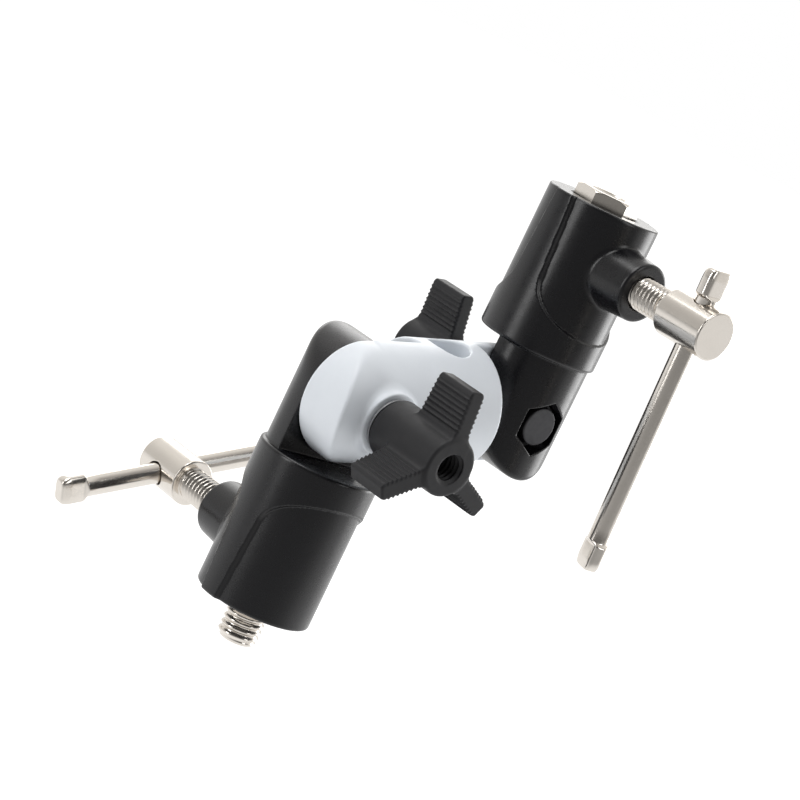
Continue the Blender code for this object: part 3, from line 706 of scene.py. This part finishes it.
def plated(name, dark, light, gloss, depth=0.000001):
    """Plated or bare metal: fine changes in gloss, a clouding of colour and a slight relief."""
    made, tree, shader = new_material(name)
    shader.inputs["Metallic"].default_value = 1.0
    tree.links.new(tint(tree, noise(tree, 0.005), dark, light), shader.inputs["Base Color"])
    tree.links.new(spread(tree, noise(tree, 0.0012, 5.0), *gloss), shader.inputs["Roughness"])
    relief(tree, shader, noise(tree, 0.0008, 2.0), 0.3, depth)
    return made


# %% Materials
finishes = {
    "socket_plastic": moulded("satin_black", (0.0035, 0.0035, 0.0050), (0.0045, 0.0045, 0.0060), (0.25, 0.30),
                              0.0006, 0.000004, 0.45),
    "link_plastic": moulded("cool_white", (0.73, 0.77, 0.82), (0.77, 0.81, 0.86), (0.30, 0.38),
                            0.0007, 0.00001, 0.4),
    "knob_plastic": moulded("charcoal", (0.012, 0.012, 0.014), (0.018, 0.018, 0.020), (0.45, 0.55),
                            0.0004, 0.00001, 0.3),
    "nickel": plated("nickel", (0.66, 0.62, 0.57), (0.72, 0.68, 0.63), (0.16, 0.22)),
    "zinc_steel": plated("zinc_steel", (0.38, 0.38, 0.39), (0.48, 0.48, 0.49), (0.28, 0.40)),
    "black_steel": plated("black_steel", (0.045, 0.045, 0.048), (0.070, 0.070, 0.074), (0.45, 0.60),
                          0.00002),
    "brass": plated("brass", (0.62, 0.45, 0.20), (0.74, 0.56, 0.28), (0.22, 0.34)),
    "nylon": moulded("nylon", (0.52, 0.52, 0.48), (0.62, 0.62, 0.58), (0.40, 0.52), 0.0004, 0.00002, 0.5),
}
slot_of = {entry["node"]: entry["material_slot"] for entry in frame["record"]["subparts"]}
for name, node in frame["nodes"].items():
    node.data.materials.clear()
    node.data.materials.append(finishes[slot_of[name]])
for piece, slot in finish_slots.items():
    piece.data.materials.clear()
    piece.data.materials.append(finishes[slot])
print("finishes:", len(finishes))

# %% [markdown]
# The floor, backdrop and lights are the studio's and not the bracket's. Both backdrop and floor look white
# to the camera, but what the bracket mirrors and is lit by is bright behind it and falls to nearly dark
# towards the camera. A narrow key light stands at the left, a narrow fill at the right, and others stand
# above, behind the right side, and behind and below.

# %% Studio
def fall_towards_camera(tree, coordinates, reach, values):
    """A smooth fall from one value to another along the direction from the bracket to the camera."""
    where = tree.nodes.new("ShaderNodeTexCoord")
    along = tree.nodes.new("ShaderNodeVectorMath")
    along.operation = "DOT_PRODUCT"
    along.inputs[1].default_value = back
    fall = tree.nodes.new("ShaderNodeMapRange")
    fall.interpolation_type = "SMOOTHSTEP"
    fall.inputs["From Min"].default_value, fall.inputs["From Max"].default_value = reach
    fall.inputs["To Min"].default_value, fall.inputs["To Max"].default_value = values
    tree.links.new(where.outputs[coordinates], along.inputs[0])
    tree.links.new(along.outputs["Value"], fall.inputs["Value"])
    return fall.outputs["Result"]


floor_mesh = bpy.data.meshes.new("floor")
drop, reach = cad_box[0][2] - 0.09, 4.0
corners = [(-reach, -reach, drop), (reach, -reach, drop), (reach, reach, drop), (-reach, reach, drop)]
floor_mesh.from_pydata(corners, [], [(0, 1, 2, 3)])
floor = bpy.data.objects.new("floor", floor_mesh)
bpy.context.scene.collection.objects.link(floor)
pale, tree, shader = new_material("pale_floor")
shader.inputs["Base Color"].default_value = (0.3, 0.3, 0.3, 1.0)
shader.inputs["Roughness"].default_value = 1.0
shader.inputs["Specular IOR Level"].default_value = 0.0
shader.inputs["Emission Color"].default_value = (1.0, 1.0, 1.0, 1.0)
path = tree.nodes.new("ShaderNodeLightPath")
lit = fall_towards_camera(tree, "Object", (-0.05, 0.3), (0.80, 0.10))
glow = tree.nodes.new("ShaderNodeMapRange")
glow.inputs["To Max"].default_value = 0.94
tree.links.new(path.outputs["Is Camera Ray"], glow.inputs["Value"])
tree.links.new(lit, glow.inputs["To Min"])
tree.links.new(glow.outputs["Result"], shader.inputs["Emission Strength"])
floor.data.materials.append(pale)

world = bpy.data.worlds.new("studio")
bpy.context.scene.world = world
world.use_nodes = True
tree = world.node_tree
seen = tree.nodes["Background"]
seen.inputs["Color"].default_value = (1, 1, 1, 1)
seen.inputs["Strength"].default_value = 1.0
dim = tree.nodes.new("ShaderNodeBackground")
dim.inputs["Color"].default_value = (1.0, 0.98, 0.95, 1)
strength = fall_towards_camera(tree, "Generated", (-0.3, 0.5), (1.0, 0.18))
tree.links.new(strength, dim.inputs["Strength"])
path = tree.nodes.new("ShaderNodeLightPath")
mix = tree.nodes.new("ShaderNodeMixShader")
tree.links.new(path.outputs["Is Camera Ray"], mix.inputs["Fac"])
tree.links.new(dim.outputs["Background"], mix.inputs[1])
tree.links.new(seen.outputs["Background"], mix.inputs[2])
tree.links.new(mix.outputs["Shader"], tree.nodes["World Output"].inputs["Surface"])


def softbox(name, spot, size, watts):
    """An area light at a place in the camera's own axes (right, up, back), in metres, facing the bracket."""
    data = bpy.data.lights.new(name, "AREA")
    data.shape = "RECTANGLE"
    data.size, data.size_y = size
    data.energy = watts
    lamp = bpy.data.objects.new(name, data)
    offset = right * spot[0] + up * spot[1] + back * spot[2]
    lamp.location = AIM + offset
    lamp.rotation_euler = offset.to_track_quat("Z", "Y").to_euler()
    bpy.context.scene.collection.objects.link(lamp)


softbox("key", (-0.62, 0.42, 0.52), (0.25, 0.7), 2.6)
softbox("fill", (0.72, 0.10, 0.45), (0.25, 0.9), 2.0)
softbox("top", (0.0, 0.85, 0.2), (0.6, 0.4), 3)
softbox("side", (0.60, -0.28, -0.50), (0.4, 0.8), 4)
softbox("rim", (0.1, 0.5, -0.7), (0.8, 0.4), 2)
bpy.context.scene.view_settings.view_transform = "Standard"
